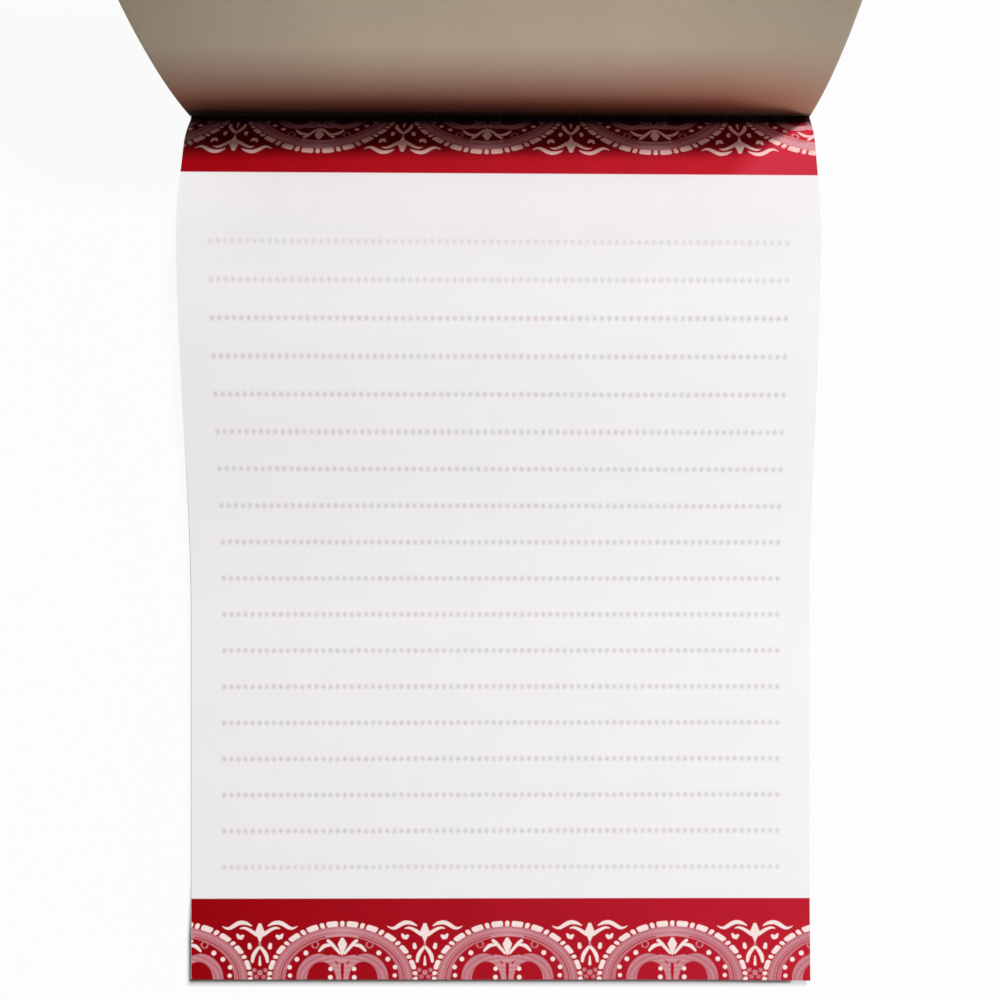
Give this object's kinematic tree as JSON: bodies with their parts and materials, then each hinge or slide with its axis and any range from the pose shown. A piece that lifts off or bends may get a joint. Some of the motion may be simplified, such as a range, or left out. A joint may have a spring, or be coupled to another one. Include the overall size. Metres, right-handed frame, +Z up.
{
  "type": "notepad",
  "caption": "Top-bound notepad lying on its back: border-printed ruled sheets swell beside the glued head, and a card cover stands open on its fold.",
  "frame": {"origin": "middle of the backing board's underside", "axes": "+X to the reader's right, +Y towards the bound head, +Z up from the table"},
  "size_m": [0.148, 0.3038, 0.1852],
  "materials": {
    "chipboard": "solid grey chipboard, matt and slightly fibrous",
    "writing_paper": "smooth uncoated white paper, printed in red",
    "padding_glue": "dried flexible padding glue, faintly glossy",
    "cover_card": "uncoated grey-beige card inside, plain red outside"
  },
  "bodies": {
    "pad": {"backing_board": "chipboard", "sheet_stack": "writing_paper", "glue_film": "padding_glue"},
    "cover": {"cover": "cover_card"}
  },
  "joints": [
    {"name": "cover_fold", "type": "hinge", "parent": "pad", "child": "cover", "pos_m": [0, 0.10119, 0.00746], "axis": [1, 0, 0], "range_deg": [-63, 48]}
  ]
}
